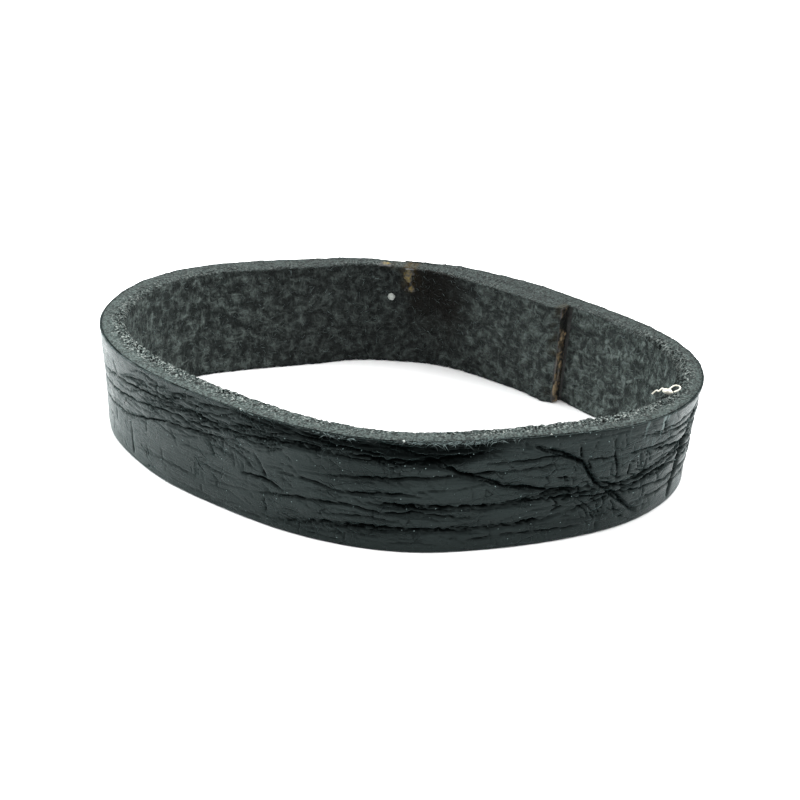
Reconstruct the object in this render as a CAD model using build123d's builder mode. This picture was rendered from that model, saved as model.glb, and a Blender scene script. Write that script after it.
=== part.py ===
"""Leather loop ligature: one strip of coated leather, bent round and glued to itself in a lap joint.

The loop stands on its lower cut edge. +Z is the way the mouthpiece goes through it, +X runs along its
long axis, and the origin is at the middle of the loop, level with the edge it stands on. Sizes are in
millimetres.
"""

import os

from build123d import *

# Driving dimensions
STRIP_WIDTH = 6.7  # cut width of the strip, which is the height of the loop
COAT = 0.12  # thickness of the finish film on the grain face
SETBACK = 0.1  # how far the film and the cement stop short of the cut edges
CEMENT = 0.08  # thickness of the cement between the lapped ends
INNER_END = 1.0  # thickness of the leather that lies inside the lap
CUT_SLANT = 4.0  # how much further round the inner end's cut is at the top than at the foot, in degrees
FILLET_WIDTH = 0.6  # the bead of cement where the inner end stops, along the leather
FILLET_DEPTH = 0.7  # and up the cut face
FILLET_HOLLOW = 0.3  # how far its face dips from straight towards the corner, as a share
RUN_START = 0.5  # the run of cement down the inner face, its distance past where the strip meets its tip
RUN_WIDTH = 0.8
RUN_DEPTH = 0.2
RUN_BOTTOM = 5.0
RUN_TOP = 6.5
DROP_RADIUS = 0.35  # the drop of cement on the upper cut edge
DROP_HEIGHT = 0.12
DROP_TAPER = 40  # slope of its side from upright, in degrees
DROP_ANGLE = 118
DROP_DISTANCE = 12.95

# The strip as seen from above, from the feathered tip of its outer end clockwise. Each station is the angle
# from +X in degrees, the radius to the grain face at half height, how much further out the upper edge leans
# than the lower edge, and the thickness of the leather.
OUTER_END = [
    (113, 13.40, -0.3, 0.25),
    (100, 13.15, -0.7, 0.50),
    (85, 12.80, -0.7, 0.80),
    (70, 12.90, -0.5, 1.05),
    (57, 13.20, 0.0, 1.10),
]
LOOP = [
    (44, 14.15, 0.2, 1.15),
    (30, 15.90, 0.5, 1.30),
    (16, 17.40, 0.9, 1.45),
    (2, 17.65, 1.4, 1.70),
    (-12, 16.75, 1.2, 1.75),
    (-26, 15.10, 0.4, 1.50),
    (-42, 13.85, -0.1, 1.30),
    (-60, 13.20, -0.2, 1.25),
    (-80, 12.55, -0.1, 1.35),
    (-100, 12.30, 0.0, 1.50),
    (-118, 12.75, 0.1, 1.55),
    (-134, 14.00, 0.2, 1.60),
    (-150, 15.85, 0.5, 1.60),
    (-164, 17.60, 0.4, 1.50),
    (-178, 18.35, 0.2, 1.45),
    (-192, 17.80, 0.3, 1.45),
    (-206, 16.00, 0.3, 1.45),
    (-220, 14.50, 0.0, 1.40),
    (-234, 13.75, -0.2, 1.05),
]
UNDER_TIP = (-246, 13.05, -0.4, 0.85)  # where the strip passes under its own tip


def lapped(angle, radius, lean, thickness):
    """The station of the inner end under a station of the outer end, one turn further along the strip."""
    return angle - 360, radius - thickness - CEMENT, lean, INNER_END


STRIP = OUTER_END + LOOP + [UNDER_TIP] + [lapped(*station) for station in OUTER_END[1:]]
CUT = len(OUTER_END) - 1  # the station of the outer end that lies over the cut of the inner end
SLANTED = (STRIP[CUT], STRIP[-1])  # the two stations that follow the slant of that cut
STOP = STRIP.index(UNDER_TIP)  # the station where the finish film stops and the cement in the lap begins

# Every line along the strip has the angle from the tip as its parameter, so lines at two heights match.
TURNED = [STRIP[0][0] - station[0] for station in STRIP]

MIDDLE = Vector(0.07, -0.45)  # where the stations' middle lies, which puts the loop's box over the origin
CUT_EDGES = (0, STRIP_WIDTH)
INSIDE_EDGES = (SETBACK, STRIP_WIDTH - SETBACK)


def beside(line, point, distance):
    """The point a distance to the left of a line, square to it at one of its points. Left is outward."""
    return point + line.tangent_at(point).rotate(Axis.Z, 90) * distance


def grain_points(height):
    """The points of the grain face at each station, seen from above, at a height above the lower edge."""
    lift = height / STRIP_WIDTH - 0.5
    points = []
    for station in STRIP:
        angle, radius, lean, _ = station
        slant = CUT_SLANT if station in SLANTED else 0
        points.append(MIDDLE + Vector(radius + lean * lift, 0).rotate(Axis.Z, angle - slant * lift))
    return points


def grain_line(height):
    """The line of the grain face at a height, from the tip to the cut of the inner end."""
    return Edge.make_spline(grain_points(height), parameters=TURNED)


def flesh_points(height):
    """The points of the flesh face at each station, the leather's thickness inside the grain face."""
    grain = grain_line(height)
    return [beside(grain, point, -station[3]) for point, station in zip(grain_points(height), STRIP)]


def flesh_line(height):
    """The line of the flesh face at a height, from the tip to the cut of the inner end."""
    return Edge.make_spline(flesh_points(height), parameters=TURNED)


# The strip, pared thinner towards both ends
with BuildPart() as leather_strip:
    for height in CUT_EDGES:
        grain = grain_line(height)
        flesh = flesh_line(height)
        with BuildSketch(Plane.XY.offset(height)):
            with BuildLine():
                add([grain, flesh])
                Line(grain @ 0, flesh @ 0)
                Line(grain @ 1, flesh @ 1)
            make_face()
    loft(ruled=True)

# The finish film, which lies on the grain face from the tip round to where the strip passes under it
with BuildPart() as grain_coat:
    for height in INSIDE_EDGES:
        grain = grain_line(height)
        points = grain_points(height)[: STOP + 1]
        under = grain.trim(0, points[-1])
        with BuildSketch(Plane.XY.offset(height)):
            with BuildLine():
                add(under)
                over = Spline(*[beside(grain, point, COAT) for point in points])
                Line(under @ 0, over @ 0)
                Line(under @ 1, over @ 1)
            make_face()
    loft(ruled=True)

# The cement in the lap, between the flesh face of the outer end and the grain face of the inner end
with BuildPart() as lap_glue_line:
    for height in INSIDE_EDGES:
        over = flesh_line(height).trim(0, flesh_points(height)[CUT])
        under = grain_line(height).trim(grain_points(height)[STOP], 1)
        with BuildSketch(Plane.XY.offset(height)):
            with BuildLine():
                add([over, under])
                Line(over @ 0, under @ 0)
                Line(over @ 1, under @ 1)
            make_face()
    loft(ruled=True)

# The bead of cement that fills the corner where the inner end stops
with BuildPart() as end_glue_fillet:
    for height in INSIDE_EDGES:
        flesh = flesh_line(height)
        along = flesh.trim_to_length(flesh_points(height)[CUT], FILLET_WIDTH)
        cut_top = grain_line(height) @ 1
        up = cut_top + (flesh @ 1 - cut_top).normalized() * FILLET_DEPTH
        hollow = cut_top * FILLET_HOLLOW + (along @ 1 + up) * (1 - FILLET_HOLLOW) / 2
        with BuildSketch(Plane.XY.offset(height)):
            with BuildLine():
                add(along)
                Polyline(along @ 0, cut_top, up)
                ThreePointArc(along @ 1, hollow, up)
            make_face()
    loft(ruled=True)

# The run of cement down the flesh face, by the tip
with BuildPart() as glue_run:
    for height in (RUN_BOTTOM, RUN_TOP):
        past_stop = flesh_line(height).trim(flesh_points(height)[STOP], 1)
        back = past_stop.trim_to_length(RUN_START / past_stop.length, RUN_WIDTH)
        with BuildSketch(Plane.XY.offset(height)):
            with BuildLine():
                add(back)
                ThreePointArc(back @ 0, beside(back, back @ 0.5, -RUN_DEPTH), back @ 1)
            make_face()
    loft(ruled=True)

# The drop of cement on the upper cut edge
with BuildPart() as glue_drop:
    with BuildSketch(Plane.XY.offset(STRIP_WIDTH)):
        with Locations(MIDDLE + Vector(DROP_DISTANCE, 0).rotate(Axis.Z, DROP_ANGLE)):
            Circle(DROP_RADIUS)
    extrude(amount=DROP_HEIGHT, taper=DROP_TAPER)

parts = {
    "leather_strip": leather_strip,
    "grain_coat": grain_coat,
    "lap_glue_line": lap_glue_line,
    "end_glue_fillet": end_glue_fillet,
    "glue_run": glue_run,
    "glue_drop": glue_drop,
}
os.makedirs("parts", exist_ok=True)
for name, piece in parts.items():
    piece.part.label = name
    export_step(piece.part, f"parts/{name}.step")
    print(name, len(piece.part.solids()), round(piece.part.volume, 2), piece.part.bounding_box())
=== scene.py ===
"""The looks of the leather loop ligature: a creased black film on a strip of raw leather, glued in a lap.

Blender works in metres. Places on the strip are given in millimetres along it from its feathered tip, as a
share of its width from the lower cut edge to the upper one, and as a depth in millimetres under its grain
face.
"""

import math

import bmesh
import bpy
import numpy as np
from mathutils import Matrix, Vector


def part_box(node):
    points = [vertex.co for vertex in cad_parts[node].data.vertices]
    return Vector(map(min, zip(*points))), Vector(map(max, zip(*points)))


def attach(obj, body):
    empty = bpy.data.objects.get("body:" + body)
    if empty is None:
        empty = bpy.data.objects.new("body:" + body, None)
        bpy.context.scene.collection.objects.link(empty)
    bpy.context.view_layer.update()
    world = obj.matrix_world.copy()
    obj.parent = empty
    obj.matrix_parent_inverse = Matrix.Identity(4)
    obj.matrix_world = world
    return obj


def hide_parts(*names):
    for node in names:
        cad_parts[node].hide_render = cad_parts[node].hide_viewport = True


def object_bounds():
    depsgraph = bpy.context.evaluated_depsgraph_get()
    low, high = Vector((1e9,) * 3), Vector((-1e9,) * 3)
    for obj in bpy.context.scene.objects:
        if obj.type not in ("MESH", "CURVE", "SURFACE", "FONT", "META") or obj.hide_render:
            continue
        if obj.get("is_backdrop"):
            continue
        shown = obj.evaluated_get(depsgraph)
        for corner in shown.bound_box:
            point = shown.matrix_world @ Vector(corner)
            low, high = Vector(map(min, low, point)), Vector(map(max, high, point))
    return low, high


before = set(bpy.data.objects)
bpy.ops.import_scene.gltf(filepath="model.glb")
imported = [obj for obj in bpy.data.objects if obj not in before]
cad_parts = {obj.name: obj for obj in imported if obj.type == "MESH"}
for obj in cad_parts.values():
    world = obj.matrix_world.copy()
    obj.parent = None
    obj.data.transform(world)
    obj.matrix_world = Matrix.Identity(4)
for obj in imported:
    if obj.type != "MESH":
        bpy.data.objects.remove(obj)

CAD_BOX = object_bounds()
MM = 0.001
WIDTH = (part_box("leather_strip")[1].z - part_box("leather_strip")[0].z) / MM
MIDDLE = np.array([0.07, -0.45])  # the middle that the strip's angles are measured from, in mm

# Camera
AZIMUTH = 26
ELEVATION = 25
DISTANCE = 0.160
LENS = 122.4
TARGET = Vector((0.00064, -0.00095, 0.0034))

# Soft boxes: name, place and size in metres, watts and colour
LIGHTS = [
    ("overhead", (0, 0.08, 0.40), (0.6, 0.6), 6.2, (1, 1, 1)),
    ("left", (-0.42, 0.06, 0.20), (0.30, 0.30), 2.4, (0.92, 1.0, 0.99)),
    ("right", (0.42, 0.10, 0.20), (0.25, 0.30), 1.2, (1, 1, 1)),
]

# Strip
SAME = 1e-6  # places of the CAD mesh that are nearer than this are one, in metres
SAMPLES = 1200  # along each cut edge
FINER = 4  # how many times as many the flesh line gets while the thickness is measured
SEARCH = 160  # how far along it the nearest point is looked for, in those finer samples
SMOOTHING = 8  # half width of the running mean that removes the facets of the CAD mesh, in samples
WHOLE_TURN = 359  # how far the film goes round before the strip passes under its own tip, in degrees
TIP_REACH = 4.0  # how far from the tip the leather and the film start to thin, in mm
TIP_PARING = 0.92  # how much of their thickness is gone at the tip itself
END_REACH = 0.9  # how far from its inner end the leather is worn round, in mm
END_PARING = 0.35  # and how much of its thickness is gone there

# Finish film
FILM = 0.12
FRONT_STEP = 0.09  # the spacing of its points along the strip where it faces the camera, in mm
BACK_STEP = 0.18  # and at its back
FILM_ROWS = 100
FILM_GLOSS = 0.19  # its specular level where it isn't creased
FILM_EDGE = 0.07  # how far the film's face stops short of the cut edges, in mm
LIP = 0.035  # how far its lip stands out past that
LIP_DEPTH = -0.7 * FILM  # the depth of the lip's outer line, in mm
CREASE_SEED = 100  # the first seed of the creases in CREASES
STRAND_SEED = 200  # of the strands beside the deepest of them
SCATTER_SEED = 1000  # and of the seeded small creases
FILM_SINK = 0.52  # how deep its hidden inner face lies, below the deepest crease
DEEPEST = 0.36  # how far below its plain place a crease may press the film
STRANDED = 0.25  # creases at least this deep get thinner strands beside them

# Leather
LEATHER_STEP = 0.095
NOISE_REACH = (120, 8)  # the longest and widest place that noise is needed for, in mm
RIM_ROWS = 22
FLESH_ROWS = 44
LOWER_ROWS = 12
CUT_GLOSS = 0.16  # its specular level outside its pits
HIDDEN_SINK = 0.42  # how deep the leather's hidden face lies under the film
UPPER_SEED = 31  # the first seed of the upper cut edge's pits
LOWER_SEED = 37  # and of the lower one's
NAP_HAIRS = 9000
EDGE_FIBRES = 3500

# Fibres: how far they lean forward, up and inward, each as a mean and a spread, their length and radius in
# mm, their curl, how few of them are pale, and their seed
FIBRES = {
    "flesh_nap": (((0, 1), (0, 1), (0.22, 0.15)), (0.12, 0.42), (0.006, 0.013), 0.22, 2, 62),
    "cut_edge_fibres": (((0, 0.8), (0.35, 0.25), (0.15, 0.6)), (0.05, 0.15), (0.007, 0.014), 0.25, 2, 65),
    "seam_frays": (((0.5, 1), (0.1, 0.25), (-0.15, 0.2)), (0.10, 0.45), (0.010, 0.024), 0.25, 2, 68),
    "lip_curls": (((0.4, 1), (-0.05, 0.16), (-0.1, 0.15)), (0.10, 0.30), (0.014, 0.028), 0.7, 0.8, 79),
}

# Cement
CRUST_BORDER = 0.03  # how far the border of a crust lies under the surface that it is on, in mm
CRUST_FOOT = 0.06  # and its back

# Creases of the film, first the long ones and then the cracks across them: depth and half width in mm, then
# the points they pass through, as the angle round the loop and the percentage of the strip's width
CREASES = [
    (0.19, 0.07, [(-164, 66), (-145, 76), (-127, 82), (-114, 77), (-97, 81), (-75, 88)]),
    (0.17, 0.06, [(-168, 36), (-149, 42), (-134, 60), (-120, 65), (-102, 72)]),
    (0.12, 0.06, [(-170, 52), (-150, 60), (-134, 70), (-118, 72), (-104, 77)]),
    (0.13, 0.06, [(-108, 43), (-98, 43), (-94, 38)]),
    (0.16, 0.06, [(-96, 54), (-90, 55), (-80, 50), (-65, 52), (-55, 51)]),
    (0.17, 0.06, [(-104, 28), (-90, 36), (-75, 38), (-67, 35), (-59, 36), (-45, 30)]),
    (0.10, 0.05, [(-87, 24), (-75, 30), (-62, 28)]),
    (0.25, 0.09, [(-92, 84), (-80, 83), (-71, 83), (-61, 81), (-51, 84), (-40, 90)]),
    (0.28, 0.08, [(-62, 90), (-55, 82), (-47, 68), (-39, 58), (-30, 49), (-19, 46)]),
    (0.20, 0.06, [(-84, 62), (-67, 66), (-51, 69), (-36, 71), (-25, 72)]),
    (0.29, 0.09, [(-72, 43), (-59, 41), (-43, 39), (-35, 41), (-27, 47), (-19, 45)]),
    (0.26, 0.08, [(-96, 10), (-84, 17), (-74, 21), (-57, 20), (-41, 21), (-30, 22), (-23, 29)]),
    (0.33, 0.085, [(-36, 95), (-28, 83), (-23, 72), (-20, 52), (-14, 29), (-9, 9)]),
    (0.22, 0.07, [(-20, 52), (-14, 41), (-8, 40), (0, 44)]),
    (0.14, 0.06, [(-48, 10), (-38, 13), (-27, 12), (-21, 11)]),
    (0.19, 0.06, [(-16, 73), (-3, 72), (4, 69), (16, 74)]),
    (0.12, 0.05, [(-22, 73), (-16, 72)]),
    (0.15, 0.06, [(-15, 87), (-3, 85), (8, 88), (20, 86)]),
    (0.14, 0.06, [(-8, 56), (4, 58), (14, 55), (22, 58)]),
    (0.13, 0.06, [(-44, 80), (-36, 79), (-25, 80)]),
    (0.14, 0.06, [(-136, 95), (-136, 80)]),
    (0.13, 0.06, [(-148, 40), (-148, 5)]),
    (0.17, 0.06, [(-24, 90), (-23, 76)]),
    (0.14, 0.06, [(-17, 98), (-17, 80), (-15, 45)]),
    (0.17, 0.06, [(-19, 42), (-18, 20), (-18, 3)]),
    (0.32, 0.16, [(6, 92), (3, 60), (1, 5)]),
    (0.23, 0.12, [(11, 80), (9, 45), (8, 10)]),
    (0.07, 0.05, [(-30, 65), (-30, 50)]),
    (0.10, 0.05, [(-24, 41), (-18, 18)]),
    (0.09, 0.05, [(-119, 62), (-117, 47)]),
    (0.09, 0.05, [(-114, 67), (-114, 53)]),
    (0.10, 0.05, [(-100, 27), (-99, 12)]),
    (0.09, 0.05, [(-85, 86), (-84, 76)]),
    (0.13, 0.06, [(-104, 66), (-99, 45)]),
]
# Where the painted shade starts below the upper cut edge, where the film rolls under: the angle, and the
# share of the width it starts from
PAINTED_SHADE_BAND = [
    (112, 1.1), (24, 1.1), (10, 0.95), (-24, 0.95), (-34, 0.93), (-42, 0.86),
    (-50, 0.78), (-70, 0.78), (-78, 0.83), (-92, 0.88), (-108, 0.92), (-125, 1.1),
]
# Where pale streaks of painted sheen lie on the film at the two ends of the loop: the angle, and how much
SHEEN_STREAKS = [(36, 0), (22, 1), (-6, 1), (-16, 0), (-152, 0), (-162, 1), (-180, 1), (-194, 0)]
# Seeded small creases: how many, the angles and shares they lie in, their length in mm, their lean along
# the strip in radians as a mean and a spread, their depth and their half width in mm
SCATTERED_CREASES = [
    (34, (10, 112), (0.08, 0.92), (5, 22), (0, 0.04), 0.18, 0.08),
    (22, (-240, -180), (0.08, 0.92), (5, 16), (0, 0.04), 0.17, 0.08),
    (85, (-144, -88), (0.78, 0.97), (1.0, 4.0), (-0.18, 0.10), 0.085, 0.036),
    (60, (-92, -40), (0.82, 0.97), (1.5, 5), (0.02, 0.08), 0.10, 0.05),
    (36, (-140, -95), (0.60, 0.80), (0.8, 3.0), (0.05, 0.16), 0.08, 0.036),
    (200, (-240, 112), (0.04, 0.96), (1.5, 8), (0, 0.06), 0.05, 0.045),
    (200, (-240, 112), (0.04, 0.96), (0.4, 1.3), (1.5, 0.35), 0.06, 0.045),
    (30, (-24, 14), (0.05, 0.95), (0.5, 1.8), (1.5, 0.4), 0.08, 0.045),
    (60, (-27, -8), (0.08, 0.70), (0.25, 0.9), (0.8, 0.7), 0.14, 0.040),
    (70, (-105, -42), (0.03, 0.34), (0.4, 1.5), (0.70, 0.20), 0.055, 0.030),
    (40, (-112, -50), (0.34, 0.75), (0.5, 2.2), (0.50, 0.25), 0.055, 0.030),
]

# Hair cracks: their cells' scale along and across the strip and in all, their width in cells, and how strong
HAIR_CRACKS = [(0.28, 1.4, 1.5, 0.05, 1), (1.1, 0.55, 1.6, 0.035, 0.8)]
# Dust on the film: how many cells there are to a millimetre, the radius of a speck in cells, the share of
# cells without one, and its tone
DUST = [(1.5, 0.055, 0.62, 0.25), (2.8, 0.060, 0.74, 0.14), (4.5, 0.075, 0.82, 0.08)]


# ---- camera, floor and light


def placed(name, data):
    """A new object in the scene."""
    thing = bpy.data.objects.new(name, data)
    bpy.context.scene.collection.objects.link(thing)
    return thing


def make_camera():
    """The camera at the photograph's angle, above the front of the loop and a little to its right."""
    turn = math.radians(AZIMUTH)
    rise = math.radians(ELEVATION)
    away = Vector((math.sin(turn) * math.cos(rise), -math.cos(turn) * math.cos(rise), math.sin(rise)))
    data = bpy.data.cameras.new("camera")
    data.lens = LENS
    data.sensor_width = 36
    data.clip_start = 0.01
    data.clip_end = 10
    camera = placed("camera", data)
    camera.location = TARGET + away * DISTANCE
    camera.rotation_euler = (-away).to_track_quat("-Z", "Y").to_euler()
    bpy.context.scene.camera = camera


def make_floor():
    """A plain white table top."""
    bpy.ops.mesh.primitive_circle_add(vertices=96, radius=1.5, fill_type="NGON")
    floor = bpy.context.object
    floor.name = "floor"
    floor.data.materials.append(Paint("white_table").finished((0.93, 0.93, 0.93, 1), 0.9, 0.1))
    floor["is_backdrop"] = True


def soft_light(name, place, size, watts, colour):
    """A soft box that looks at the loop."""
    data = bpy.data.lights.new(name, "AREA")
    data.shape = "RECTANGLE"
    data.size, data.size_y = size
    data.energy = watts
    data.color = colour
    lamp = placed(name, data)
    lamp.location = place
    lamp.rotation_euler = (-Vector(place)).to_track_quat("-Z", "Y").to_euler()


def make_light():
    """Soft light from above and from both sides, darker towards the camera."""
    world = bpy.data.worlds.new("studio")
    world.use_nodes = True
    background = world.node_tree.nodes["Background"]
    background.inputs["Color"].default_value = (0.96, 0.98, 1.0, 1)
    background.inputs["Strength"].default_value = 0.25
    bpy.context.scene.world = world
    for light in LIGHTS:
        soft_light(*light)
    bpy.context.scene.view_settings.view_transform = "Standard"


# ---- the strip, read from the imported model


def cut_edge_outline(level):
    """The closed outline of the strip's cut edge at a level, as an array of points in order, in mm."""
    bm = bmesh.new()
    bm.from_mesh(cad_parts["leather_strip"].data)
    bmesh.ops.remove_doubles(bm, verts=bm.verts, dist=SAME)
    flat = {face for face in bm.faces if all(abs(corner.co.z - level) < SAME for corner in face.verts)}
    nexts = {}
    for face in flat:
        for loop in face.loops:
            if sum(other in flat for other in loop.edge.link_faces) == 1:
                nexts[loop.vert] = loop.link_loop_next.vert
    start = next(iter(nexts))
    walk = [start]
    while nexts[walk[-1]] is not start:
        walk.append(nexts[walk[-1]])
    outline = np.array([corner.co.xy for corner in walk]) / MM
    bm.free()
    return outline


def lengths(line):
    """The distance of each point of a line along it."""
    return np.concatenate([[0], np.cumsum(np.linalg.norm(np.diff(line, axis=0), axis=1))])


def resampled(line, count):
    """A line as evenly spaced points."""
    run = lengths(line)
    places = np.linspace(0, run[-1], count)
    return np.stack([np.interp(places, run, line[:, axis]) for axis in (0, 1)], 1)


def smoothed(line, half):
    """A line after two running means, with its ends kept in place."""
    for _ in range(2):
        before = 2 * line[0] - line[half:0:-1]
        after = 2 * line[-1] - line[-2 : -half - 2 : -1]
        padded = np.concatenate([before, line, after])
        total = np.cumsum(np.concatenate([[np.zeros(2)], padded]), axis=0)
        line = (total[2 * half + 1 :] - total[: -2 * half - 1]) / (2 * half + 1)
    return line


def long_sides(outline):
    """The grain line and the flesh line of an outline, both from the feathered tip to the other end."""
    ahead = np.roll(outline, -1, 0) - outline
    behind = outline - np.roll(outline, 1, 0)
    cross = behind[:, 0] * ahead[:, 1] - behind[:, 1] * ahead[:, 0]
    turn = np.abs(np.arctan2(cross, (behind * ahead).sum(1)))
    corners = np.sort(np.argsort(turn)[-4:])
    sides = []
    for first, last in zip(corners, np.roll(corners, -1)):
        count = (last - first) % len(outline) + 1
        sides.append(outline[(first + np.arange(count)) % len(outline)])
    flesh, grain = sorted(sides, key=lambda side: lengths(side)[-1])[-2:]
    tip_first = []
    for side in (grain, flesh):
        start, stop = (np.arctan2(*(end - MIDDLE)[::-1]) for end in (side[0], side[-1]))
        tip_first.append(side if start > stop else side[::-1])
    return tip_first


def inward_and_thickness(grain, flesh):
    """At each point of the grain line, the way to the flesh line square to it, and how far that is."""
    tangent = np.gradient(grain, axis=0)
    tangent /= np.linalg.norm(tangent, axis=1)[:, None]
    inward = np.stack([tangent[:, 1], -tangent[:, 0]], 1)
    fine = resampled(flesh, FINER * len(grain))
    thickness = []
    for index, point in enumerate(grain):
        guess = int(index / (len(grain) - 1) * (len(fine) - 1))
        near = slice(max(guess - SEARCH, 0), guess + SEARCH)
        offset = fine[near] - point
        best = np.argmin(np.abs(offset @ tangent[index]))
        thickness.append(offset[best] @ inward[index])
    return inward, smoothed(np.stack([thickness, thickness], 1), SMOOTHING)[:, 0]


class Strip:
    """The leather as a ruled band between its two cut edges."""

    def __init__(self):
        low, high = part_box("leather_strip")
        self.levels = []
        for level in (low.z, high.z):
            grain, flesh = long_sides(cut_edge_outline(level))
            grain = smoothed(resampled(grain, SAMPLES), SMOOTHING)
            inward, thickness = inward_and_thickness(grain, flesh)
            self.levels.append(np.column_stack([grain, inward, thickness]))
        middle = (self.levels[0][:, :2] + self.levels[1][:, :2]) / 2
        self.marks = lengths(middle)
        self.length = self.marks[-1]
        self.angles = np.degrees(np.unwrap(np.arctan2(*(middle - MIDDLE).T[::-1])))

    def mix(self, along, share, column):
        """A column of the two edges' numbers at a place, between the lower edge's and the upper edge's."""
        low, high = (np.interp(along, self.marks, level[:, column]) for level in self.levels)
        return low * (1 - share) + high * share

    def thickness(self, along, share=0.5):
        """The leather's thickness, in mm."""
        return self.mix(along, share, 4)

    def inward(self, along, share=0.5):
        """The level direction from the grain face to the flesh face."""
        x, y = (self.mix(along, share, column) for column in (2, 3))
        return np.stack([x, y, 0 * x], -1)

    def point(self, along, share, depth):
        """Points in mm, pared onto the flesh face at the tip and worn round at the inner end."""
        thick = self.thickness(along, share)
        depth = thick - (thick - depth) * (1 - TIP_PARING * (1 - ramp(along, 0, TIP_REACH)))
        depth = depth * (1 - END_PARING * ramp(along, self.length - END_REACH, self.length) ** 2)
        x, y = (self.mix(along, share, axis) + depth * self.mix(along, share, axis + 2) for axis in (0, 1))
        z = share * WIDTH + 0 * x
        return np.stack([x, y, z], -1)

    def forward(self, along, share=0.5):
        """The level direction along the strip, away from its feathered tip."""
        x, y, z = np.moveaxis(self.inward(along, share), -1, 0)
        return np.stack([-y, x, z], -1)

    def turned(self, along):
        """How far round the loop a place is from the feathered tip, in degrees."""
        return np.interp(along, self.marks, self.angles[0] - self.angles)

    def under_tip(self, node):
        """The distance along the strip of a node's middle, on the strip's last turn."""
        low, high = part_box(node)
        middle = (low + high) / 2 / MM
        return self.at_angle(math.degrees(math.atan2(middle.y - MIDDLE[1], middle.x - MIDDLE[0])) - 360)

    def at_angle(self, angle):
        """The distance along the strip at an angle round the loop, counted down from the tip."""
        return np.interp(-np.asarray(angle, float), -self.angles, self.marks)


# ---- shapes made with numpy


def clouds(along, across, size, seed):
    """Smooth seeded noise from -1 to 1, with blobs of a size along and across the strip in mm."""
    along, across = np.broadcast_arrays(along, across)
    x = along / size[0] + 1
    y = across / size[1] + 1
    cells = [int(reach / blob) + 4 for reach, blob in zip(NOISE_REACH, size)]
    lattice = np.random.default_rng(seed).uniform(-1, 1, cells)
    i = np.floor(x).astype(int)
    j = np.floor(y).astype(int)
    u = (x - i) ** 2 * (3 - 2 * (x - i))
    v = (y - j) ** 2 * (3 - 2 * (y - j))
    low = lattice[i, j] * (1 - u) + lattice[i + 1, j] * u
    high = lattice[i, j + 1] * (1 - u) + lattice[i + 1, j + 1] * u
    return low * (1 - v) + high * v


def summed(along, across, *layers):
    """A sum of clouds, each given as its amount, its size and its seed."""
    return sum(amount * clouds(along, across, size, seed) for amount, size, seed in layers)


def ramp(value, start, stop):
    """0 before start, 1 after stop, and a smooth rise between."""
    share = np.clip((value - start) / (stop - start), 0, 1)
    return share * share * (3 - 2 * share)


def by_angle(strip, along, *stations):
    """A value that changes along the strip, from stations of a falling angle and a value."""
    angles, values = np.array(stations, float).T
    return np.interp(-np.interp(along, strip.marks, strip.angles), -angles, values)


def grid_faces(columns, rows, closed):
    """The quads of a grid of points, stored column by column, whose rows may close into a ring."""
    first = np.arange(columns - 1)[:, None] * rows
    row = np.arange(rows if closed else rows - 1)[None, :]
    following = (row + 1) % rows
    quads = np.stack([first + row, first + following, first + rows + following, first + rows + row], -1)
    return quads.reshape(-1, 4).tolist()


def make_piece(name, points, faces, material, slot, *nodes, **attributes):
    """A smooth mesh piece from points in mm, which stands for CAD nodes and rides on the one body."""
    points = points.reshape(-1, 3)
    mesh = bpy.data.meshes.new(name)
    mesh.from_pydata((points * MM).tolist(), [], faces)
    for label, values in attributes.items():
        kind, field = ("FLOAT_VECTOR", "vector") if values.size == points.size else ("FLOAT", "value")
        layer = mesh.attributes.new(label, kind, "POINT")
        layer.data.foreach_set(field, values.astype(np.float32).ravel())
    bm = bmesh.new()
    bm.from_mesh(mesh)
    bmesh.ops.recalc_face_normals(bm, faces=bm.faces)
    bm.to_mesh(mesh)
    bm.free()
    mesh.shade_smooth()
    mesh.materials.append(material)
    piece = placed(name, mesh)
    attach(piece, "root")
    if nodes:
        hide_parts(*nodes)


def make_skin(name, along, share, depth, points, material, slot, node, **attributes):
    """A closed band along the strip, whose rings are given as shares of its width and as depths."""
    columns, rows = share.shape
    ends = [list(range(rows)), list(range((columns - 1) * rows, columns * rows))]
    faces = grid_faces(columns, rows, True) + ends
    places = np.stack([along + 0 * share, share * WIDTH, depth], -1)
    make_piece(name, points, faces, material, slot, node, strip=places, **attributes)


# ---- finish film


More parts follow.
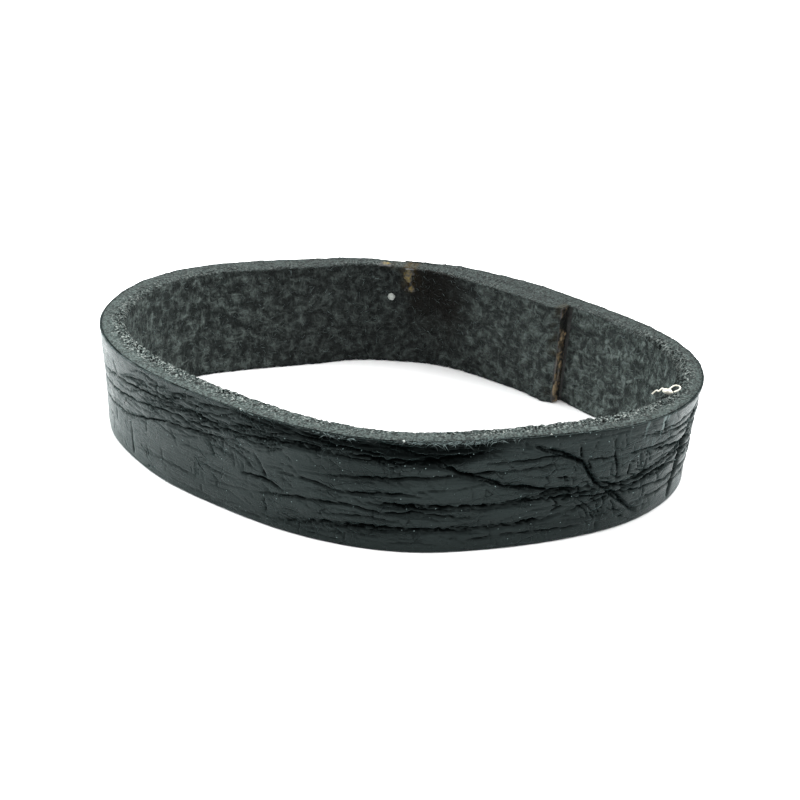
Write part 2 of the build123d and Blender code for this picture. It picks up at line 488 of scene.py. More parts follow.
def press_crease(layers, along, across, depth, half, knots, seed, softness=0.30):
    """Presses one crease into the relief: a sharp line in a soft dip, fading out towards its ends."""
    rng = np.random.default_rng(seed)
    knots = np.asarray(knots, float)
    if np.ptp(knots[:, 1]) >= np.ptp(knots[:, 0]):  # it runs across the strip, so the two ways change places
        along, across, knots = across, along, knots[:, ::-1]
        layers = [layer.T for layer in layers]
    relief, groove, painted_shade = layers
    knots = knots[np.argsort(knots[:, 0])]
    first, last = knots[0, 0], knots[-1, 0]
    chosen = np.flatnonzero((along >= first) & (along <= last))
    if len(chosen) < 3:
        return
    run = along[chosen]
    centre = np.interp(run, knots[:, 0], knots[:, 1])
    soft = max(int(0.5 / np.median(np.diff(along))), 1)
    kernel = np.hanning(2 * soft + 1)
    centre = np.convolve(np.pad(centre, soft, mode="edge"), kernel / kernel.sum(), "valid")
    wobble, ragged, force, spread, pinch = (
        clouds(run - first, 0 * run, (size, 1), rng.integers(1e6)) for size in (0.9, 0.25, 1.3, 0.7, 0.3)
    )
    centre = centre + (0.03 + 4 * half * half) * wobble + (0.02 + 0.3 * half + 0.08 * depth) * ragged
    slope = np.gradient(centre, run)
    share = (run - first) / (last - first)
    taper = np.clip(np.minimum(share, 1 - share) * 6, 0, 1) ** 0.7
    strength = (taper * (0.78 + 0.3 * force + 0.9 * depth * pinch))[:, None]
    width = (half * (0.75 + 0.4 * spread + 2.5 * half * ragged + depth * pinch))[:, None]
    beside = np.flatnonzero((across > centre.min() - 8 * half) & (across < centre.max() + 8 * half))
    off = (across[beside][None, :] - centre[:, None]) / np.sqrt(1 + slope[:, None] ** 2)
    line = strength * np.exp(-((off / width) ** 2))
    dip = strength * np.exp(-np.abs(off) / (3 * half))
    shadow = strength * np.exp(-np.abs(off) / (2 * half))
    window = np.ix_(chosen, beside)
    relief[window] -= depth * (line + softness * dip)
    # Painted shade: marks the crease's bottom and a band beside it, which the material paints near-black.
    groove[window] = np.maximum(groove[window], line * min(depth / 0.12, 1))
    painted_shade[window] = np.maximum(painted_shade[window], shadow * min(depth / 0.25, 1) ** 2)


def scattered_creases(strip, count, angles, shares, reach, lean, seed):
    """Seeded short creases inside a range of angles and shares of the width, as knots in mm."""
    rng = np.random.default_rng(seed)
    for _ in range(count):
        start = strip.at_angle(rng.uniform(*angles))
        across = rng.uniform(*shares) * WIDTH
        length = rng.uniform(*reach)
        tilt = rng.normal(*lean)
        bend = rng.normal(0, 0.06) * length
        ahead, up = length * math.cos(tilt), length * math.sin(tilt)
        yield [(start, across), (start + ahead / 2, across + up / 2 + bend), (start + ahead, across + up)]


def film_relief(strip, along, across):
    """How far the film's face stands out in mm, how much each place is a crease's bottom, and its painted
    shade.
    """
    s, h = np.meshgrid(along, across, indexing="ij")
    relief = summed(s, h, (0.045, (9, 2.2), 11), (0.03, (3.5, 1.0), 12))
    relief += summed(s, h, (0.014, (1.2, 0.5), 13), (0.006, (0.4, 0.25), 14))
    groove = np.zeros_like(relief)
    painted_shade = np.zeros_like(relief)
    layers = (relief, groove, painted_shade)
    for index, (depth, half, knots) in enumerate(CREASES):
        places = [(strip.at_angle(angle), share / 100 * WIDTH) for angle, share in knots]
        press_crease(layers, along, across, depth, half, places, CREASE_SEED + index)
        if depth >= STRANDED:
            for strand, shift in enumerate((-1.6, 1.4)):
                moved = [(place, height + shift * half) for place, height in places]
                seed = STRAND_SEED + 2 * index + strand
                press_crease(layers, along, across, 0.45 * depth, 0.5 * half, moved, seed)
    seed = SCATTER_SEED
    for count, angles, shares, reach, lean, depth, half in SCATTERED_CREASES:
        for knots in scattered_creases(strip, count, angles, shares, reach, lean, seed):
            seed += 1
            press_crease(layers, along, across, depth, half, knots, seed, 0.12)
    turned = np.interp(s, strip.marks, strip.angles)
    rolled = ramp(turned, -150, -110) * ramp(-turned, 25, 45)
    share = h / WIDTH
    relief += 0.09 * rolled * (np.exp(-(((share - 0.80) / 0.10) ** 2)) - 0.8 * ramp(share, 0.86, 1))
    # Painted shade in a band from the listed share up to the upper cut edge.
    fringe = by_angle(strip, s, *PAINTED_SHADE_BAND) + 0.05 * clouds(s, h, (2.5, 0.8), 15)
    painted_shade = np.maximum(painted_shade, 0.95 * ramp(share, fringe - 0.04, fringe + 0.06))
    # Painted shade in broad patches over the film where it faces the camera.
    front = ramp(turned, -130, -100) * ramp(-turned, -5, 15)
    painted_shade = np.maximum(painted_shade, 0.5 * front * ramp(clouds(s, h, (7, 1.1), 16), 0.0, 0.7))
    edge = ramp(np.minimum(h, WIDTH - h), 0.03, 0.5)
    return np.clip(relief, -DEEPEST, 0.10) * (0.45 + 0.55 * edge), groove, painted_shade


def film_marks(strip, stop):
    """Places along the film, closer together where it faces the camera than at its back."""
    coarse = np.linspace(0, stop, 600)
    angle = np.interp(coarse, strip.marks, strip.angles)
    front = ramp(angle, -190, -180) * (1 - ramp(angle, 32, 42))
    steps = np.diff(coarse) / (BACK_STEP + (FRONT_STEP - BACK_STEP) * front[1:])
    count = np.concatenate([[0], np.cumsum(steps)])
    return np.interp(np.linspace(0, count[-1], int(count[-1])), count, coarse)


def make_film(strip, material):
    """The finish film, a thin skin that wraps the grain face and ends in a lip at each cut edge."""
    along = film_marks(strip, strip.at_angle(strip.angles[0] - WHOLE_TURN))
    across = np.linspace(FILM_EDGE, WIDTH - FILM_EDGE, FILM_ROWS)
    relief, groove, painted_shade = film_relief(strip, along, across)
    column = along[:, None]
    outer_share = np.repeat(across[None] / WIDTH, len(along), 0)
    deep = np.minimum(FILM_SINK, 0.6 * strip.thickness(column))
    lip = summed(column, 0 * column, (0.03, (0.5, 1), 21), (0.02, (0.15, 1), 22))
    top = 1 - (FILM_EDGE - LIP + lip) / WIDTH
    foot = (FILM_EDGE - LIP) / WIDTH
    inner = [(top, LIP_DEPTH), (top - 0.001, 0.0), (0.985, 0.02), (0.92, deep), (0.50, deep)]
    inner += [(0.08, deep), (0.015, 0.02), (foot + 0.001, 0.0), (foot, LIP_DEPTH)]
    share, depth = (
        np.concatenate([outer] + [row[part] + 0 * column for row in inner], 1)
        for part, outer in enumerate((outer_share, -FILM - relief))
    )
    points = strip.point(column, share, depth)
    # Painted sheen: pale streaks at the two ends of the loop, on the upper part of the film's face.
    painted_sheen = by_angle(strip, column, *SHEEN_STREAKS) * ramp(outer_share, 0.55, 0.95)
    under = np.zeros((len(along), len(inner)))
    looks = {"groove": groove, "painted_shade": painted_shade, "painted_sheen": painted_sheen}
    looks = {label: np.concatenate([values, under], 1) for label, values in looks.items()}
    make_skin("finish_film", column, share, depth, points, material, "black_finish", "grain_coat", **looks)


# ---- leather


# Along the strip, by angle: how coarse its cut edges are, how far the corner between cut edge and flesh face
# is worn round, and how much of their paler tone the cut edges and the flesh face show, as painted light and
# shade that makes them lighter or darker round the loop, all from 0 to 1
COARSE = [
    (113, 0.2), (45, 0.4), (28, 1.0), (-5, 1.0), (-35, 0.8), (-55, 0.35),
    (-88, 0.35), (-105, 0.8), (-150, 1.0), (-172, 0.9), (-190, 0.4), (-303, 0.2),
]
WORN = [(48, 0), (28, 1), (8, 1), (-12, 0), (-150, 0), (-172, 0.7), (-186, 0)]
EDGE_PAINTED_SHADING = [
    (113, 0.26), (60, 0.25), (38, 0.30), (22, 0.36), (0, 0.40), (-35, 0.44),
    (-60, 0.44), (-110, 0.50), (-155, 0.56), (-178, 0.42), (-205, 0.28), (-303, 0.25),
]
FLESH_PAINTED_SHADING = [
    (57, 0.88), (40, 0.88), (20, 0.80), (-60, 0.40), (-150, 0.60), (-175, 0.80),
    (-195, 0.64), (-218, 0.36), (-255, 0.34), (-275, 0.58), (-303, 0.72),
]


def coarseness(strip, along):
    """How coarse the cut edges are, from 0 to 1: most of all at the two ends of the loop."""
    return np.clip(by_angle(strip, along, *COARSE) + 0.25 * clouds(along, 0 * along, (2.0, 1), 36), 0, 1)


def cut_edge_relief(strip, along, across, seed):
    """How far a cut edge stands up, in mm, and how deep its pits are, from 0 to 1."""
    deep = across / strip.thickness(along)
    coarse = coarseness(strip, along)
    inner = ramp(deep, 0.15, 0.8) * coarse
    holes = summed(along, across, (1, (0.20, 0.15), seed), (0.6, (0.11, 0.09), seed + 1))
    pit = ramp(holes, 0.25, 0.80) * (0.08 + 0.92 * inner)
    grit = clouds(along, across, (0.13, 0.10), seed + 2)
    lift = 0.025 * clouds(along, across, (0.5, 0.35), seed + 3) + (0.012 + 0.05 * inner) * grit - 0.16 * pit
    seam = np.exp(-(((across - 0.11) / 0.06) ** 2))
    rounding = by_angle(strip, along, *WORN)
    corner = (0.05 + 0.40 * rounding) * np.clip(deep, 0, 1) ** (12 - 8 * rounding)
    return lift * ramp(across, 0.05, 0.25) - 0.07 * seam - corner, pit


def flesh_relief(strip, along, height):
    """How far the flesh face stands out, in mm: napped lumps, ragged at the edge, flat inside the lap."""
    nap = summed(along, height, (0.045, (1.5, 1.1), 41), (0.035, (0.5, 0.4), 42), (0.025, (0.22, 0.2), 43))
    ragged = summed(along, 0 * height, (0.022, (0.25, 1), 44), (0.022, (0.11, 1), 45))
    at_edge = np.exp(-(WIDTH - height) / 0.10)
    return (nap * (1 - 0.7 * at_edge) + ragged * at_edge) * ramp(strip.turned(along), 55, 59)


def soaked(strip, along, height):
    """How much cement has soaked into the flesh face beside the lap's feathered tip, from 0 to 1."""
    past = along - strip.under_tip("glue_run")
    edge = summed(along, height, (1, (0.9, 0.8), 51), (0.6, (0.35, 0.3), 52))
    above = ramp(height / WIDTH + 0.14 * edge, 0.22, 0.60)
    return ramp(past + 0.3 * edge, -0.9, 0.3) * (1 - ramp(past + 0.5 * edge, 2.6, 5.0)) * above


def stained(strip, along, height):
    """How amber the cement has stained the leather, from 0 to 1."""
    edge = summed(along, height, (1, (0.5, 0.6), 53), (0.7, (0.2, 0.25), 54))
    share = height / WIDTH
    run = np.exp(-(((along - strip.under_tip("glue_run")) / 0.45) ** 2)) * ramp(share, 0.62, 0.85)
    drop = np.exp(-(((along - strip.under_tip("glue_drop")) / 0.5) ** 2)) * ramp(share, 0.95, 0.99)
    end = ramp(along, strip.length - 0.7, strip.length)
    return np.clip((run + drop + 0.35 * end) * ramp(edge, -0.5, 0.7), 0, 1)


def make_leather(strip, material):
    """The leather itself: rough cut edges, a napped flesh face, and its grain side hidden under the film."""
    along = np.linspace(0, strip.length, int(strip.length / LEATHER_STEP))[:, None]
    thick = strip.thickness(along)
    bare = ramp(strip.turned(along), WHOLE_TURN - 2, WHOLE_TURN - 0.5)
    hidden = np.minimum(HIDDEN_SINK, 0.4 * thick) * (1 - bare)
    skin = np.minimum(0.03, 0.2 * thick) * (1 - bare)
    rim = skin + (thick - skin) * np.linspace(0, 1, RIM_ROWS)
    foot = skin + (thick - skin) * np.linspace(1, 0, LOWER_ROWS)
    wall = np.linspace(1, 0, FLESH_ROWS + 2)[1:-1] + 0 * along
    back = np.array([0.07, 0.5, 0.93]) + 0 * along
    share = np.concatenate([1 + 0 * rim, wall, 0 * foot, back], 1)
    depth = np.concatenate([rim, thick + 0 * wall, foot, hidden + 0 * back], 1)
    height = share * WIDTH
    upper = slice(0, RIM_ROWS)
    flesh = slice(RIM_ROWS - 1, RIM_ROWS + FLESH_ROWS + 1)
    lower = slice(RIM_ROWS + FLESH_ROWS, RIM_ROWS + FLESH_ROWS + LOWER_ROWS)
    points = strip.point(along, share, depth)
    pit = np.zeros_like(share)
    lift, pit[:, upper] = cut_edge_relief(strip, along, rim, UPPER_SEED)
    points[:, upper, 2] += lift
    lift, pit[:, lower] = cut_edge_relief(strip, along, foot, LOWER_SEED)
    points[:, lower, 2] = np.maximum(-lift, 0)
    points[:, flesh] += flesh_relief(strip, along, height[:, flesh])[..., None] * strip.inward(along)
    inside = np.zeros_like(share)
    inside[:, flesh] = 1
    rounding = by_angle(strip, along, *WORN)
    inside[:, upper] = (0.4 + 0.5 * rounding) * ramp(rim / thick, 0.9 - 0.4 * rounding, 1)
    grit = coarseness(strip, along) * ramp(depth / thick, 0.12, 0.7)
    # Painted light and shade: the cut edges and flesh face are made lighter or darker by angle round the
    # loop.
    painted_shading = np.where(inside > 0.99, by_angle(strip, along, *FLESH_PAINTED_SHADING), by_angle(strip, along, *EDGE_PAINTED_SHADING))
    soak = soaked(strip, along, height) * (depth > 0.9 * thick)
    looks = {"flesh": inside, "pit": pit, "grit": grit, "painted_shading": painted_shading, "soak": soak}
    looks["stain"] = stained(strip, along, height)
    make_skin("leather_body", along, share, depth, points, material, "raw_leather", "leather_strip", **looks)


# ---- loose fibres


def make_fibres(name, strip, along, roots, material):
    """Tapered hairs, each from a root along its own way, with a seeded length, shade and curl."""
    lean, reach, radius, curl, darkening, seed = FIBRES[name]
    rng = np.random.default_rng(seed)
    count = len(roots)
    forward, up, inward = (rng.normal(mean, spread, count)[:, None] for mean, spread in lean)
    ways = forward * strip.forward(along) + up * [0, 0, 1] + inward * strip.inward(along)
    ways /= np.linalg.norm(ways, axis=1)[:, None]
    rng = np.random.default_rng(seed + 1)
    length = rng.uniform(*reach, count)[:, None]
    thick = rng.uniform(*radius, count)[:, None]
    side = np.cross(ways, rng.normal(size=(count, 3)))
    side /= np.linalg.norm(side, axis=1)[:, None]
    other = np.cross(ways, side)
    bend = rng.normal(0, curl, (count, 3)) * length
    rings = []
    for share, width in ((0, 1), (0.5, 0.8)):
        spine = roots + ways * length * share + bend * share * share
        for turn in np.radians((0, 120, 240)):
            around = side * math.cos(turn) + other * math.sin(turn)
            rings.append(spine + around * thick * width)
    rings.append(roots + ways * length + bend)
    points = np.stack(rings, 1)
    points[..., 2] = np.maximum(points[..., 2], 0)
    pattern = [(0, 1, 4, 3), (1, 2, 5, 4), (2, 0, 3, 5), (3, 4, 6), (4, 5, 6), (5, 3, 6)]
    faces = [[corner + 7 * index for corner in face] for index in range(count) for face in pattern]
    shade = np.repeat(rng.uniform(0, 1, count) ** darkening, 7)
    make_piece(name, points, faces, material, "raw_leather", shade=shade)


def make_flesh_nap(strip, material):
    """The nap of the flesh face: short hairs that lie nearly flat."""
    rng = np.random.default_rng(61)
    along = rng.uniform(strip.at_angle(56), strip.length, NAP_HAIRS)
    height = rng.uniform(0.02, 0.99, NAP_HAIRS) * WIDTH
    depth = strip.thickness(along, height / WIDTH) + flesh_relief(strip, along, height) - 0.01
    roots = strip.point(along, height / WIDTH, depth)
    make_fibres("flesh_nap", strip, along, roots, material)


def make_edge_fibres(strip, material):
    """Cut fibres that stand out of the upper edge, most of them at the flesh side."""
    rng = np.random.default_rng(64)
    along = rng.uniform(0, strip.length, EDGE_FIBRES)
    thick = strip.thickness(along, 1.0)
    across = thick * (0.12 + 0.9 * rng.uniform(0, 1, EDGE_FIBRES) ** 0.6)
    lift, _ = cut_edge_relief(strip, along, across, UPPER_SEED)
    roots = strip.point(along, 1.0, across)
    roots[:, 2] += lift - 0.015
    make_fibres("cut_edge_fibres", strip, along, roots, material)


def make_frays(strip, material):
    """Frayed ends along the seam between the film and the leather, most of them at the front."""
    rng = np.random.default_rng(67)
    angles = np.concatenate([rng.uniform(-64, -36, 150), rng.uniform(-240, 110, 120)])
    along = strip.at_angle(angles)
    roots = strip.point(along, 1 - rng.uniform(0, 0.025, len(along)), rng.uniform(-0.14, 0.02, len(along)))
    make_fibres("seam_frays", strip, along, roots, material)

    angles = np.concatenate([rng.normal(-53, 2, 60), rng.normal(-46, 2.5, 70), rng.normal(-79, 2.5, 30)])
    along = strip.at_angle(angles)
    roots = strip.point(along, rng.uniform(0.975, 0.995, len(along)), rng.uniform(-0.20, -0.10, len(along)))
    make_fibres("lip_curls", strip, along, roots, material)


# ---- cement


def make_crust(name, base, normal, thickness, material, node):
    """A closed skin of cement on a surface, ragged where its thickness falls below the surface."""
    rows, columns = thickness.shape
    border = np.ones_like(thickness, bool)
    border[1:-1, 1:-1] = False
    thickness = np.where(border, -CRUST_BORDER, thickness)
    top = base + normal * thickness[..., None]
    bottom = base - normal * CRUST_FOOT
    top_faces = grid_faces(rows, columns, False)
    count = rows * columns
    faces = top_faces + [[corner + count for corner in face[::-1]] for face in top_faces]
    index = np.arange(count).reshape(rows, columns)
    outline = np.concatenate([index[0, :-1], index[:-1, -1], index[-1, :0:-1], index[:0:-1, 0]]).tolist()
    for first, second in zip(outline, outline[1:] + outline[:1]):
        faces.append([second, first, first + count, second + count])
    thin = np.stack([thickness, 0 * thickness])
    make_piece(name, np.stack([top, bottom]), faces, material, "dried_cement", node, thickness=thin)


def make_cement(strip, amber, brown):
    """The cement that squeezed out: on the cut of the inner end, in a run by the tip and as a drop."""
    share, depth = np.meshgrid(np.linspace(0.006, 0.992, 130), np.linspace(0.03, 1.0, 26), indexing="ij")
    end = np.full_like(share, strip.length)
    height = share * WIDTH
    lumps = summed(height, depth, (0.08, (0.8, 0.5), 71), (0.05, (0.28, 0.22), 72), (0.03, (0.12, 0.1), 77))
    lower = 0.07 * (1 - ramp(share, 0.45, 0.85)) - 0.01
    near_flesh = 0.03 * ramp(depth, 0.15, 0.6)
    base = strip.point(end, share, depth)
    crust = np.maximum(lumps + lower + near_flesh, 0.01)
    make_crust("end_cement", base, strip.forward(end, share), crust, brown, "end_glue_fillet")

    place = strip.under_tip("glue_run")
    low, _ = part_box("glue_run")
    around = place + np.linspace(-0.45, 0.45, 24)
    along, share = np.meshgrid(around, np.linspace(low.z / MM / WIDTH, 0.99, 44), indexing="ij")
    height = share * WIDTH
    middle = place + 0.10 * clouds(height, 0 * height, (0.5, 1), 78)
    bulge = 0.14 * np.exp(-(((along - middle) / 0.26) ** 2)) - 0.05
    lumps = summed(along, height, (0.08, (0.30, 0.35), 73), (0.05, (0.12, 0.15), 74))
    base = strip.point(along, share, strip.thickness(along, share) + flesh_relief(strip, along, height))
    make_crust("run_of_cement", base, strip.inward(along, share), bulge + lumps, amber, "glue_run")

    place = strip.under_tip("glue_drop")
    around = place + np.linspace(-0.42, 0.42, 26)
    along, across = np.meshgrid(around, np.linspace(0.42, 1.02, 20), indexing="ij")
    away = ((along - place) / 0.36) ** 2 + ((across - 0.75) / 0.26) ** 2
    lumps = summed(along, across, (0.04, (0.25, 0.22), 75), (0.02, (0.1, 0.1), 76))
    base = strip.point(along, 1.0, across)
    bulge = 0.13 * np.exp(-away) - 0.03
    make_crust("drop_of_cement", base, np.array([0, 0, 1]), bulge + lumps, amber, "glue_drop")


# ---- lint

# The thread's course: angle round the loop, depth under the grain face and height above the cut edge in mm
LINT = [
    (0.4, 2.30, -0.10), (1.6, 2.12, 0.14), (0.8, 1.98, 0.04), (2.4, 1.86, 0.24),
    (1.5, 1.70, 0.10), (1.7, 1.50, 0.12), (3.2, 1.48, 0.18), (4.8, 1.35, 0.22),
    (4.9, 1.02, 0.18), (3.6, 0.92, 0.14), (2.1, 1.15, 0.12),
]
LINT_RADIUS = 0.045
KNOT = 5  # which of its points is the knot
KNOT_SIZE = (0.19, 0.30, 0.16)  # the knot's radii along the strip, inward and up, in mm

# Specks of lint: angle round the loop, share of the width, whether it lies on the flesh face, radius in mm
SPECKS = [
    (-62.7, 0.995, False, 0.08),
    (-61.8, 0.985, False, 0.05),
    (-243.8, 0.68, True, 0.22),
    (-108.0, 1.0, False, 0.05),
    (-30.0, 1.0, False, 0.05),
]


def rough_ball(seed):
    """The points and faces of a lumpy ball of radius 1."""
    bm = bmesh.new()
    bmesh.ops.create_icosphere(bm, subdivisions=3, radius=1)
    ball = np.array([corner.co for corner in bm.verts])
    faces = [[corner.index for corner in face.verts] for face in bm.faces]
    bm.free()
    lumps = 1 + 0.12 * np.sin(5 * ball[:, :1] + seed) * np.sin(4 * ball[:, 1:2])
    return ball * (lumps + 0.05 * np.sin(17 * ball[:, 2:] + seed)), faces


def make_specks(strip, material):
    """A few pale specks of lint on the cut edge and on the flesh face."""
    for index, (angle, share, on_flesh, radius) in enumerate(SPECKS):
        place = strip.at_angle(angle)
        depth = strip.thickness(place, share) if on_flesh else 0.0
        ball, faces = rough_ball(index)
        points = strip.point(place, share, depth) + ball * radius
        make_piece(f"speck_{index}", points, faces, material, "raw_leather")


def make_lint(strip, material):
    """A pale curled thread caught on the right of the upper edge, with a small knot in it."""
    angles, depths, lifts = np.array(LINT).T
    points = strip.point(strip.at_angle(angles), 1.0, depths) + np.outer(lifts, [0, 0, 1])
    data = bpy.data.curves.new("lint_thread", "CURVE")
    data.dimensions = "3D"
    data.bevel_depth = LINT_RADIUS * MM
    data.bevel_resolution = 2
    spline = data.splines.new("NURBS")
    spline.points.add(len(points) - 1)
    for control, point in zip(spline.points, points * MM):
        control.co = (*point, 1)
    spline.order_u = 3
    spline.use_endpoint_u = True
    data.use_fill_caps = True
    data.materials.append(material)
    thread = placed("lint_thread", data)
    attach(thread, "root")

    ball, faces = rough_ball(2)
    place = strip.at_angle(angles[KNOT])
    ways = np.stack([strip.forward(place), strip.inward(place), [0, 0, 1]])
    knot = points[KNOT] + (ball * KNOT_SIZE) @ ways
    make_piece("lint_knot", knot, faces, material, "raw_leather")


# ---- materials


class Paint:
    """A material's node tree, with short calls for the nodes that the finishes need."""

    def __init__(self, name):
        self.material = bpy.data.materials.new(name)
        self.material.use_nodes = True
        self.tree = self.material.node_tree

    def fill(self, node, sockets):
        """Sets each socket of a node to its constant, or links another node's output to it."""
        for socket, value in sockets.items():
            if isinstance(value, bpy.types.NodeSocket):
                self.tree.links.new(value, node.inputs[socket])
            else:
                node.inputs[socket].default_value = value

    def make(self, kind, sockets, output=0, **settings):
        """An output of a new node."""
        node = self.tree.nodes.new("ShaderNode" + kind)
        for setting, value in settings.items():
            setattr(node, setting, value)
        self.fill(node, sockets)
        return node.outputs[output]

    def finished(self, tone, roughness, gloss=0.5, **others):
        """The material, with its shader's sockets filled. Its gloss is the specular level."""
        sockets = {"Base Color": tone, "Roughness": roughness, "Specular IOR Level": gloss, **others}
        self.fill(self.tree.nodes["Principled BSDF"], sockets)
        return self.material

    def attribute(self, name, output="Fac"):
        return self.make("Attribute", {}, output, attribute_name=name)

    def scaled(self, vector, x, y, z=1):
        return self.make("VectorMath", {0: vector, 1: (x, y, z)}, operation="MULTIPLY")

    def millimetres(self):
        """Places in the object's own frame, in mm."""
        return self.scaled(self.make("TexCoord", {}, "Object"), 1000, 1000, 1000)

    def noise(self, vector, scale, detail=3.0, roughness=0.5, distortion=0.0):
        shape = {"Scale": scale, "Detail": detail, "Roughness": roughness, "Distortion": distortion}
        return self.make("TexNoise", {"Vector": vector, **shape}, "Fac")

    def cells(self, vector, scale, feature="F1", output="Distance"):
        """Voronoi cells on the strip's surface, laid flat."""
        sockets = {"Vector": vector, "Scale": scale}
        return self.make("TexVoronoi", sockets, output, voronoi_dimensions="2D", feature=feature)

    def warped(self, vector, scale, amount):
        """A vector pushed about by noise."""
        push = self.make("TexNoise", {"Vector": vector, "Scale": scale}, "Color")
        return self.make("VectorMath", {0: push, 1: [amount] * 3, 2: vector}, operation="MULTIPLY_ADD")

    def math(self, operation, first, second, clamp=False):
        return self.make("Math", {0: first, 1: second}, operation=operation, use_clamp=clamp)

    def times(self, first, second):
        return self.math("MULTIPLY", first, second)

    def most(self, first, second):
        return self.math("MAXIMUM", first, second)

    def between(self, value, start, stop, low=0.0, high=1.0):
        """Maps a value smoothly from one range to another."""
        ranges = {"From Min": start, "From Max": stop, "To Min": low, "To Max": high}
        return self.make("MapRange", {"Value": value, **ranges}, "Result", interpolation_type="SMOOTHSTEP")

    def blend(self, factor, first, second):
        """Mixes two colours."""
        return self.make("Mix", {"Factor": factor, 6: first, 7: second}, 2, data_type="RGBA")

    def bump(self, height, distance, strength=1.0, **under):
        """A bump on top of the one under it."""
        sockets = {"Height": height, "Distance": distance, "Strength": strength, **under}
        return self.make("Bump", sockets, "Normal")


def grey(value, blue=0.98):
    """A dark grey with the finish's cool green cast, or a greener one with less blue."""
    return (value * 0.75, value, value * blue, 1)


def film_material():
    """Black finish, satin, with a fine pebbled grain, a net of hair cracks and specks of dust."""
    paint = Paint("black_finish")
    place = paint.attribute("strip", "Vector")
    groove = paint.attribute("groove")
    painted_shade = paint.attribute("painted_shade")
    warped = paint.warped(place, 2.5, 0.25)
    grain = paint.cells(paint.scaled(place, 1, 1.3), 6)
    fine = paint.noise(paint.scaled(place, 1, 1.6), 9, 4, 0.6)
    streaks = paint.noise(paint.scaled(place, 0.35, 3.2), 2.2, 5, 0.6, 0.4)
    patches = paint.between(paint.noise(place, 0.35, 2, 0.5), 0.42, 0.60)
    cracks = []
    for x, y, size, width, force in HAIR_CRACKS:
        distance = paint.cells(paint.scaled(warped, x, y), size, "DISTANCE_TO_EDGE")
        cracks.append(paint.between(distance, 0, width, force, 0))
    net = paint.times(paint.most(*cracks), patches)
    bump = paint.bump(grain, 0.000014, 0.5)
    bump = paint.bump(fine, 0.000016, 0.5, Normal=bump)
    bump = paint.bump(streaks, 0.00005, 0.6, Normal=bump)
    bump = paint.bump(paint.times(net, -1.0), 0.00005, 0.8, Normal=bump)
    roughness = paint.between(paint.noise(place, 1.1, 4, 0.6), 0.3, 0.7, 0.24, 0.40)
    roughness = paint.math("ADD", roughness, paint.times(groove, 0.7), True)
    tone = paint.blend(paint.noise(place, 0.8, 5, 0.6), grey(0.003), grey(0.008))
    # Painted shade: the colour goes near-black in crease bottoms and wherever painted shade is marked.
    tone = paint.blend(paint.most(groove, painted_shade), tone, grey(0.0003))
    clusters = paint.between(paint.noise(paint.scaled(place, 1, 1.5), 0.45, 3, 0.6), 0.43, 0.55)
    for size, reach, share, pale in DUST:
        chosen = paint.math("GREATER_THAN", paint.cells(place, size, "F1", "Color"), share)
        dust = paint.times(paint.between(paint.cells(place, size), reach / 2, reach, 1, 0), chosen)
        tone = paint.blend(paint.times(dust, clusters), tone, grey(pale))
    # Painted sheen: pale streaks laid into the colour at the two ends of the loop.
    sheen_streaks = paint.between(paint.noise(paint.scaled(place, 3.6, 0.28), 1.3, 3, 0.65), 0.53, 0.66)
    tone = paint.blend(paint.times(sheen_streaks, paint.attribute("painted_sheen")), tone, grey(0.16))
    # Painted shade: the specular level falls away in crease bottoms and painted shade, and partly in hair
    # cracks.
    black = paint.most(paint.between(groove, 0.1, 0.7), paint.times(painted_shade, 0.75))
    black = paint.most(black, paint.times(net, 0.6))
    gloss = paint.times(paint.between(black, 0, 1, 1, 0), FILM_GLOSS)
    tint = {"Specular Tint": (0.78, 1.0, 0.98, 1)}
    sheen = {"Sheen Weight": 0.10, "Sheen Tint": (0.65, 1.0, 0.98, 1), "Sheen Roughness": 0.45}
    return paint.finished(tone, roughness, gloss, Normal=bump, **tint, **sheen)


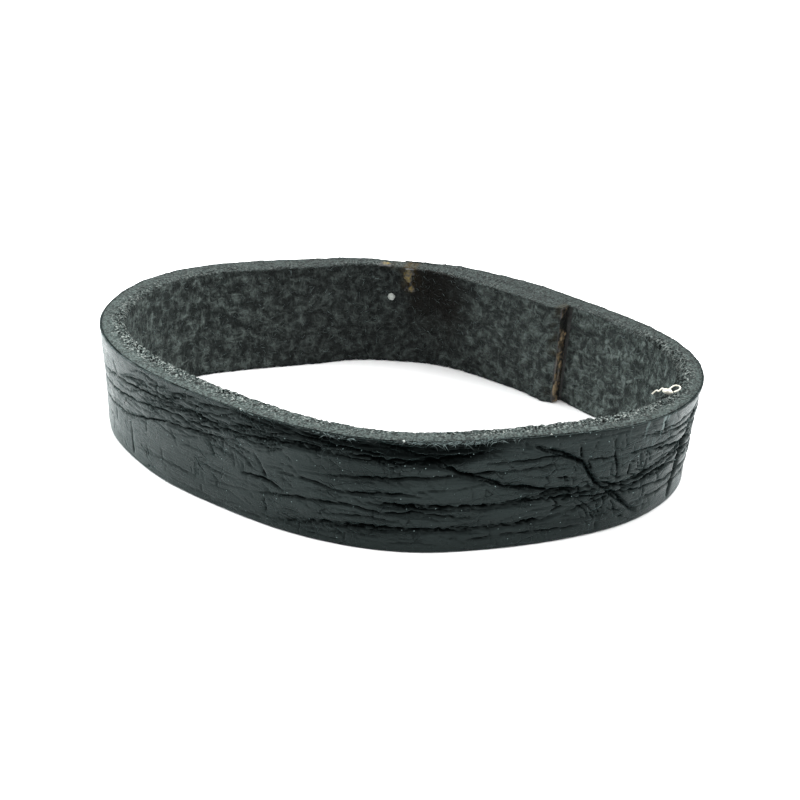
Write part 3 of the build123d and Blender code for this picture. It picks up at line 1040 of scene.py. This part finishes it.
def leather_material():
    """Raw dyed leather: grey and granular where it was cut, dark and napped on the flesh face."""
    paint = Paint("raw_leather")
    place = paint.attribute("strip", "Vector")
    flesh = paint.attribute("flesh")
    grit = paint.attribute("grit")
    grains = paint.noise(place, 8, 1, 0.5)
    specks = paint.noise(place, 7.5, 2, 0.6)
    cut = paint.blend(paint.between(grains, 0.38, 0.62), grey(0.040, 0.93), grey(0.17, 0.93))
    # Pale flecks on the cut edges: paler fibres of the leather, and partly painted glints.
    pale = paint.times(paint.between(specks, 0.56, 0.64), paint.math("ADD", grit, 0.12))
    cut = paint.blend(pale, cut, (0.56, 0.62, 0.58, 1))
    # Painted shade: the pits and small holes of the cut edges are painted near-black and lose their gloss.
    holes = paint.times(paint.between(specks, 0.40, 0.47, 1, 0), grit)
    black = paint.most(holes, paint.attribute("pit"))
    cut = paint.blend(black, cut, grey(0.002))
    flowing = paint.warped(place, 1.1, 0.8)
    threads = [paint.noise(paint.scaled(flowing, *way), 1.5, 4, 0.65) for way in ((0.9, 3.0), (3.0, 0.9))]
    felt = paint.between(paint.most(*threads), 0.44, 0.72, 0, 0.65)
    felt = paint.math("ADD", felt, paint.between(paint.noise(flowing, 2.4, 3, 0.6), 0.36, 0.66, 0, 0.45))
    broad = paint.between(paint.noise(flowing, 1.5, 3, 0.6), 0.36, 0.62, 0.14, 0.98)
    nap = paint.blend(paint.times(felt, broad), grey(0.018, 0.95), (0.185, 0.225, 0.210, 1))
    tone = paint.blend(flesh, cut, nap)
    # Painted light and shade: the tone is darkened towards black by angle round the loop.
    tone = paint.blend(paint.attribute("painted_shading"), grey(0.0), tone)
    tone = paint.blend(paint.attribute("soak"), tone, (0.004, 0.004, 0.003, 1))
    tone = paint.blend(paint.attribute("stain"), tone, (0.040, 0.026, 0.006, 1))
    bump = paint.bump(specks, 0.00019, 0.9, Normal=paint.bump(paint.cells(place, 6), 0.00008, 0.8))
    roughness = paint.between(flesh, 0, 1, 0.5, 0.9)
    gloss = paint.times(paint.between(black, 0, 1, 1, 0), CUT_GLOSS)
    return paint.finished(tone, roughness, gloss, Normal=bump)


def fibre_material():
    """Hairs of dyed leather, a few of them paler where the dyeing missed."""
    paint = Paint("leather_fibre")
    tone = paint.blend(paint.attribute("shade"), grey(0.012), grey(0.20))
    return paint.finished(tone, 0.6, 0.3)


def cement_material(name, dark, pale):
    """Dried contact cement, mottled from a dark tone to a pale one."""
    paint = Paint(name)
    place = paint.millimetres()
    mottle = paint.between(paint.noise(place, 1.6, 5, 0.65), 0.38, 0.64)
    solid = paint.between(paint.attribute("thickness"), 0.015, 0.09)
    tone = paint.blend(solid, grey(0.004, 0.8), paint.blend(mottle, dark, pale))
    bump = paint.bump(paint.noise(place, 5, 4, 0.6), 0.00008, 0.8)
    roughness = paint.between(mottle, 0, 1, 0.35, 0.7)
    return paint.finished(tone, roughness, Normal=bump)


def lint_material(name, dark, pale):
    """Cotton lint, from a dark tone to a pale one."""
    paint = Paint(name)
    place = paint.millimetres()
    tone = paint.blend(paint.noise(place, 6, 4, 0.7), dark, pale)
    bump = paint.bump(paint.noise(place, 12, 3, 0.6), 0.00004, 0.8)
    return paint.finished(tone, 0.8, Normal=bump)


make_camera()
make_floor()
make_light()
strip = Strip()
make_film(strip, film_material())
make_leather(strip, leather_material())
hairs = fibre_material()
make_flesh_nap(strip, hairs)
make_edge_fibres(strip, hairs)
make_frays(strip, hairs)
amber = cement_material("amber_cement", (0.012, 0.010, 0.003, 1), (0.16, 0.115, 0.025, 1))
brown = cement_material("brown_cement", (0.010, 0.007, 0.003, 1), (0.25, 0.185, 0.105, 1))
make_cement(strip, amber, brown)
lap_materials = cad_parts["lap_glue_line"].data.materials
lap_materials.clear()
lap_materials.append(brown)
make_lint(strip, lint_material("pale_lint", (0.42, 0.40, 0.33, 1), (0.85, 0.82, 0.72, 1)))
make_specks(strip, lint_material("grey_lint", (0.22, 0.24, 0.22, 1), (0.50, 0.53, 0.50, 1)))

boxes = {"cad": CAD_BOX, "visual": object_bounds()}
{name: [list(corner) for corner in box] for name, box in boxes.items()}
